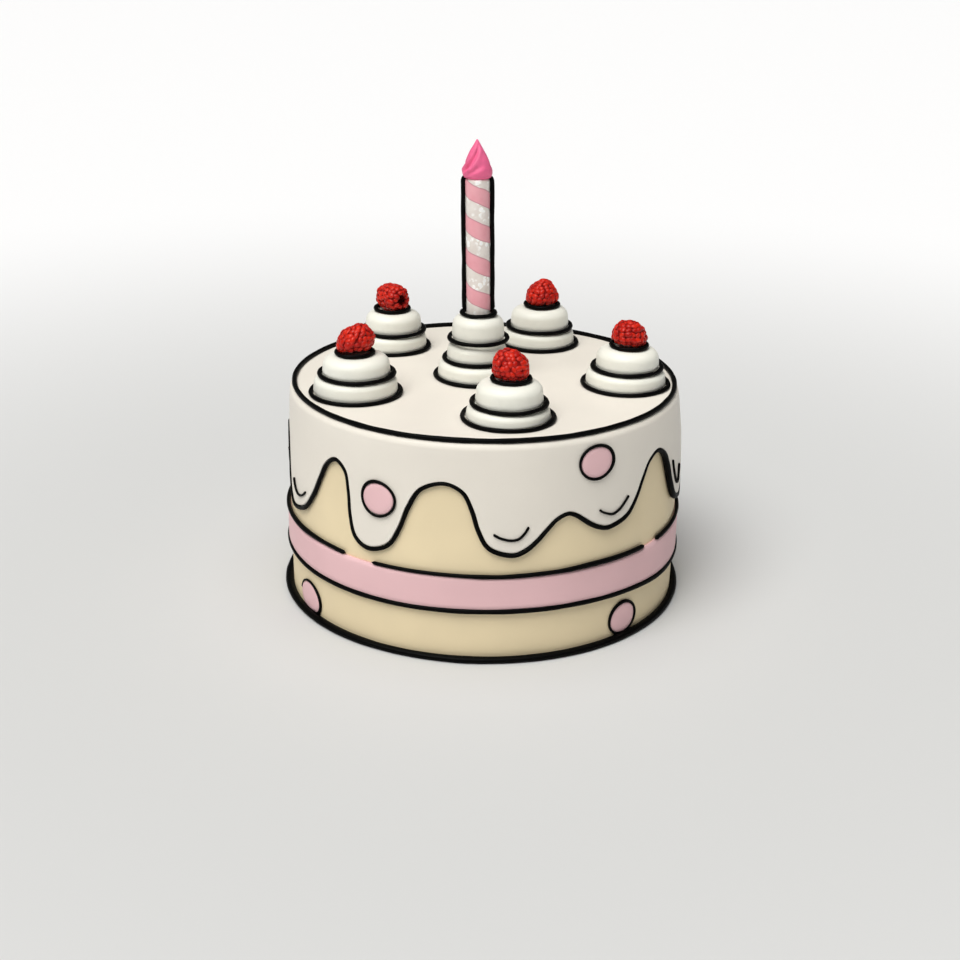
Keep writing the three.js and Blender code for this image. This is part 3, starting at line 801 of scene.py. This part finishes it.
# the berry on its side: the same, with the hollow open towards the front right
LYING_RADIUS, LYING_LENGTH = 6.7 * MM - BUMP, 14.8 * MM
LYING_YAW, LYING_TILT, LYING_HEIGHT = radians(-50), radians(1), 6.5 * MM
ring_low, ring_high = (Vector(corner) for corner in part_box("berry_ring_back_left"))
middle = Vector(((ring_low.x + ring_high.x) / 2, (ring_low.y + ring_high.y) / 2, ring_low.z + LYING_HEIGHT))
axis = Vector((cos(LYING_TILT) * cos(LYING_YAW), cos(LYING_TILT) * sin(LYING_YAW), sin(LYING_TILT)))
skin = [(LYING_RADIUS * share, LYING_LENGTH * up) for share, up in
        ((0.2, 0.05), (0.7, 0.07), (0.95, 0.2), (1.0, 0.42), (1.0, 0.6), (0.97, 0.78), (0.84, 0.93),
         (0.62, 0.98))]
cup = [(0, LYING_LENGTH * 0.05), *skin, (0.0032, LYING_LENGTH * 0.97), (0.0028, LYING_LENGTH * 0.7),
       (0.0018, LYING_LENGTH * 0.48), (0, LYING_LENGTH * 0.45)]
turn = axis.to_track_quat("Z", "Y").to_matrix().to_4x4()
place = Matrix.Translation(middle - axis * LYING_LENGTH / 2) @ turn
bm = drupelets(skin, place, random.Random("lying"), cup)
settle(piece("berry_back_left", bm, raspberry), "raspberry", "raspberry_back_left")


# ---- candle -----------------------------------------------------------------------------------------
# A stick of white and pink sugar paste twisted together, smoothed into a rod. The white stripe has a
# pearly glaze with bright flecks, which glow a little as painted glints. It leans a hair to the left.

low, high = (Vector(corner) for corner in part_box("candle"))
foot_low, foot_high = (Vector(corner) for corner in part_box("candle_ring"))
CANDLE_AXIS = (foot_low + foot_high) / 2
CANDLE_FOOT = low.z
CANDLE_HEIGHT = high.z - low.z
CANDLE_RADIUS = (high.y - low.y) / 2
CANDLE_LEAN = ((low.x + high.x) / 2 - CANDLE_AXIS.x) * 2 / CANDLE_HEIGHT
CANDLE_ROUND = 1.2 * MM
STRIPE_PITCH = 15.35 * MM
STRIPE_START = 0.69                 # share of a turn
STRIPE_EASE = 0.1                   # how much less the stripes slope on the front than on the back
PINK_SHARE = 0.49


def lean(point):
    """A point of the upright candle, in the cake's frame."""
    return Vector((CANDLE_AXIS.x + point.x + CANDLE_LEAN * point.z, CANDLE_AXIS.y + point.y,
                   CANDLE_FOOT + point.z))


rod = turned([(0, 0), *rise((CANDLE_RADIUS, 0), (CANDLE_RADIUS, CANDLE_HEIGHT - CANDLE_ROUND), 150),
              *arc((CANDLE_RADIUS - CANDLE_ROUND, CANDLE_HEIGHT - CANDLE_ROUND), CANDLE_ROUND, 0, 90, 5),
              (0, CANDLE_HEIGHT)], 64)
stripe = rod.verts.layers.float.new("stripe")
for vertex in rod.verts:
    turns = (vertex.co.z / STRIPE_PITCH + STRIPE_START
             + (atan2(vertex.co.x, -vertex.co.y) - STRIPE_EASE * vertex.co.x / CANDLE_RADIUS) / 2 / pi)
    phase = turns % 1
    seam = min(abs(phase - edge) for edge in (0, PINK_SHARE, 1))
    groove = 0.00016 * exp(-(seam * STRIPE_PITCH / 0.00035) ** 2)
    if vertex.co.xy.length > 0.004:
        vertex.co.xy *= 1 - groove / CANDLE_RADIUS
    vertex[stripe] = phase
    vertex.co = lean(vertex.co)

candle_fondant = Finish("candle_fondant", Specular_IOR_Level=0.5, Emission_Strength=1)
whole = {"Vector": candle_fondant.place}
across, ahead, above = (candle_fondant.node("ShaderNodeSeparateXYZ", {}, whole, letter) for letter in "XYZ")
up = above - CANDLE_FOOT
side_way = across - up * CANDLE_LEAN - CANDLE_AXIS.x
front_way = CANDLE_AXIS.y - ahead
angle = side_way.math("ARCTAN2", side_way, front_way)
turns = up / STRIPE_PITCH + (angle - side_way * (STRIPE_EASE / CANDLE_RADIUS)) / (2 * pi) + STRIPE_START
wobble = candle_fondant.noise(0.009, 1) * 0.1 - 0.05
turns = turns + wobble
phase = turns.math("FRACT", turns)
into_pink = candle_fondant.between(phase, 0.0, 0.012)
out_of_pink = candle_fondant.between(phase, PINK_SHARE - 0.012, PINK_SHARE)
is_pink = into_pink * (1 - out_of_pink)
patch = candle_fondant.noise(0.004, 3)
pink = candle_fondant.mix(patch, srgb(241, 157, 171), srgb(254, 192, 200))
white = candle_fondant.mix(patch, srgb(228, 217, 209), srgb(252, 247, 241))
pearls = {"Vector": candle_fondant.place, "Scale": 460}
cells = candle_fondant.node("ShaderNodeTexVoronoi", {"feature": "F1"}, pearls)
drifts = candle_fondant.between(candle_fondant.noise(0.0045, 2), 0.42, 0.6)
# bright specks on the white stripe: pale sugar flecks, which also stand for painted glints
fleck_and_glint = (1 - candle_fondant.between(cells, 0.38, 0.58)) * drifts
white = candle_fondant.mix(fleck_and_glint, white, srgb(255, 255, 253))
tone = candle_fondant.mix(is_pink, white, pink)
# a thin darker seam runs where the two colours meet
low_seam = candle_fondant.between(phase, 0.0, 0.008) * (1 - candle_fondant.between(phase, 0.012, 0.045))
high_seam = (candle_fondant.between(phase, PINK_SHARE - 0.045, PINK_SHARE - 0.01)
             * (1 - candle_fondant.between(phase, PINK_SHARE - 0.004, PINK_SHARE + 0.012)))
tone = candle_fondant.mix((low_seam + high_seam) * 0.55, tone, srgb(186, 104, 122))
glaze = 0.42 - (1 - is_pink) * 0.24
# the flecks glow a little: painted glints, not light that the paste sends back
painted_glint = candle_fondant.mix(fleck_and_glint * (1 - is_pink), (0, 0, 0, 1), srgb(98, 98, 96))
candle_fondant.surface(Base_Color=tone, Roughness=glaze + patch * 0.1, Coat_Weight=(1 - is_pink) * 0.5,
                       Emission_Color=painted_glint,
                       Normal=candle_fondant.bump(patch + fleck_and_glint * (1 - is_pink), 0.00012, 0.5))
settle(piece("candle_stick", rod, candle_fondant.material), "candle_fondant", "candle")

# the black line up one side, over the top and down the other
low, high = (Vector(corner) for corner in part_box("candle_line"))
BOW_LINE = (high.y - low.y) * 0.98
BOW_OUTER = (high.x - low.x - abs(CANDLE_LEAN) * (high.z - low.z)) / 2 - BOW_LINE / 2
BOW_FOOT = low.z - CANDLE_FOOT - 0.0006
BOW_TOP = high.z - CANDLE_FOOT - BOW_LINE / 2
BOW_CORNER = 0.0024
path = [Vector((-across, 0, up)) for across, up in
        rise((BOW_OUTER, BOW_FOOT), (BOW_OUTER, BOW_TOP - BOW_CORNER), 40)]
path += [Vector((-across, 0, up)) for across, up in
         arc((BOW_OUTER - BOW_CORNER, BOW_TOP - BOW_CORNER), BOW_CORNER, 0, 90, 6)]
path += [Vector((-point.x, 0, point.z)) for point in reversed(path)]
path = [lean(point + Vector((0.0002 * noise.noise(point * 90), 0, 0))) for point in path]
settle(rope("candle_outline", path, BOW_LINE), "black_fondant", "candle_line")


# ---- flame ------------------------------------------------------------------------------------------
# A drop of hot pink sugar paste rolled to a point and given a twist, so that a soft fold winds up it. It
# is pressed down on the candle over the black line.

low, high = (Vector(corner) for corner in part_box("flame"))
FLAME_HEIGHT = high.z - low.z
FLAME_RADIUS = 6.6 * MM
flame_foot = lean(Vector((0, 0, CANDLE_HEIGHT)))
shape = [(0.78, 0.0), (0.9, 0.03), (0.97, 0.08), (1.0, 0.16), (0.985, 0.24), (0.93, 0.31), (0.85, 0.40),
         (0.74, 0.49), (0.63, 0.58), (0.515, 0.66), (0.39, 0.75), (0.26, 0.84), (0.15, 0.92), (0.06, 0.98),
         (0, 1.0)]
flame = turned([(0, 0), *((FLAME_RADIUS * across, FLAME_HEIGHT * up) for across, up in shape)], 64)
bmesh.ops.subdivide_edges(flame, edges=flame.edges, cuts=1, use_grid_fill=True, smooth=0.6)
# each fold climbs round the drop: azimuth at the foot, degrees per height, depth, width in degrees, from
# what share of the height, to what share
FOLDS = [(-88, 125, 0.3, 13, 0.12, 0.9), (-75, 260, 0.12, 14, 0.05, 0.4), (60, 110, 0.2, 15, 0.2, 0.85),
         (140, 120, 0.25, 14, 0.1, 0.9), (215, 150, 0.16, 14, 0.1, 0.6)]
for vertex in flame.verts:
    up = vertex.co.z / FLAME_HEIGHT
    azimuth = degrees(atan2(vertex.co.x, -vertex.co.y))
    shrink = 0
    for start, climb, depth, width, low, high in FOLDS:
        away = ((azimuth - start - climb * up + 180) % 360 - 180) / width
        ease = min(1, max(0, up - low) * 8) * min(1, max(0, high - up) * 6)
        shrink += ease * (depth * exp(-away * away) - depth * 0.38 * exp(-(away - 1.9) ** 2 / 1.5))
    vertex.co.xy *= 1 - shrink
    vertex.co.y *= 0.9
    vertex.co += flame_foot + Vector((CANDLE_LEAN * vertex.co.z, 0, 0))
bmesh.ops.recalc_face_normals(flame, faces=flame.faces)
flame_fondant = fondant("flame_fondant", srgb(255, 114, 161), roughness=0.5, patches=0.004, shade=0.85)
settle(piece("flame_drop", flame, flame_fondant), "flame_fondant", "flame")


# ---- floor, light and camera ------------------------------------------------------------------------
# A pale floor with painted shade near the cake and painted light far off, a broad soft light overhead, a key
# light from the upper left and a dim even sky. The camera is in front of the cake and a little above it,
# looking down.

floor_mesh = bmesh.new()
bmesh.ops.create_grid(floor_mesh, x_segments=1, y_segments=1, size=12)
floor_finish = Finish("floor_paper", Roughness=0.9, Specular_IOR_Level=0.1)
far = floor_finish.node("ShaderNodeVectorMath", {"operation": "LENGTH"}, {0: floor_finish.place}, "Value")
# greyer near the cake and whiter far off: painted shade round the cake and painted light further away
floor_painted_light_and_shade = floor_finish.mix(floor_finish.between(far, 0.15, 0.9), srgb(213, 214, 214), srgb(250, 251, 253))
floor = piece("floor", floor_mesh, floor_finish.surface(Base_Color=floor_painted_light_and_shade))

scene = bpy.context.scene
world = bpy.data.worlds.new("soft_sky")
world.use_nodes = True
sky = world.node_tree.nodes
sky["Background"].inputs["Color"].default_value = (1, 0.99, 0.975, 1)
sky["Background"].inputs["Strength"].default_value = 0.10
# where the camera looks past the end of the floor, it sees the same pale paper
beyond = sky.new("ShaderNodeBackground")
beyond.inputs["Color"].default_value = srgb(252, 252, 250)
seen = sky.new("ShaderNodeLightPath")
either = sky.new("ShaderNodeMixShader")
for output, socket in (
        (seen.outputs["Is Camera Ray"], either.inputs[0]), (sky["Background"].outputs[0], either.inputs[1]),
        (beyond.outputs[0], either.inputs[2]), (either.outputs[0], sky["World Output"].inputs["Surface"])):
    world.node_tree.links.new(output, socket)
scene.world = world


def lamp(name, direction, energy, spread, colour):
    """A soft light from far away; the direction points from the cake to the light."""
    light = bpy.data.lights.new(name, "SUN")
    light.energy = energy
    light.angle = radians(spread)
    light.color = colour
    holder = bpy.data.objects.new(name, light)
    holder.rotation_euler = Vector(direction).to_track_quat("Z", "Y").to_euler()
    scene.collection.objects.link(holder)


lamp("top_panel", (-0.05, -0.12, 0.99), 1.25, 60, (1, 0.99, 0.97))
lamp("key_panel", (-0.31, -0.44, 0.84), 2.1, 40, (1, 0.985, 0.955))

scene.view_settings.view_transform = "Standard"
scene.view_settings.look = "None"

CAMERA_PLACE = Vector((0.000005, -0.653273, 0.307396))
CAMERA_PITCH, CAMERA_YAW, CAMERA_ROLL = (radians(angle) for angle in (21.732, -0.126, 0.728))
ahead = Vector((sin(CAMERA_YAW) * cos(CAMERA_PITCH), cos(CAMERA_YAW) * cos(CAMERA_PITCH), -sin(CAMERA_PITCH)))
level = Vector((cos(CAMERA_YAW), -sin(CAMERA_YAW), 0))
upwards = level.cross(ahead)
right = level * cos(CAMERA_ROLL) + upwards * sin(CAMERA_ROLL)
upright = upwards * cos(CAMERA_ROLL) - level * sin(CAMERA_ROLL)
camera_data = bpy.data.cameras.new("camera")
camera_data.lens = 56.25
camera_data.sensor_width = 36
camera = bpy.data.objects.new("camera", camera_data)
camera.matrix_world = Matrix((
    (right.x, upright.x, -ahead.x, CAMERA_PLACE.x),
    (right.y, upright.y, -ahead.y, CAMERA_PLACE.y),
    (right.z, upright.z, -ahead.z, CAMERA_PLACE.z),
    (0, 0, 0, 1)))
scene.collection.objects.link(camera)
scene.camera = camera
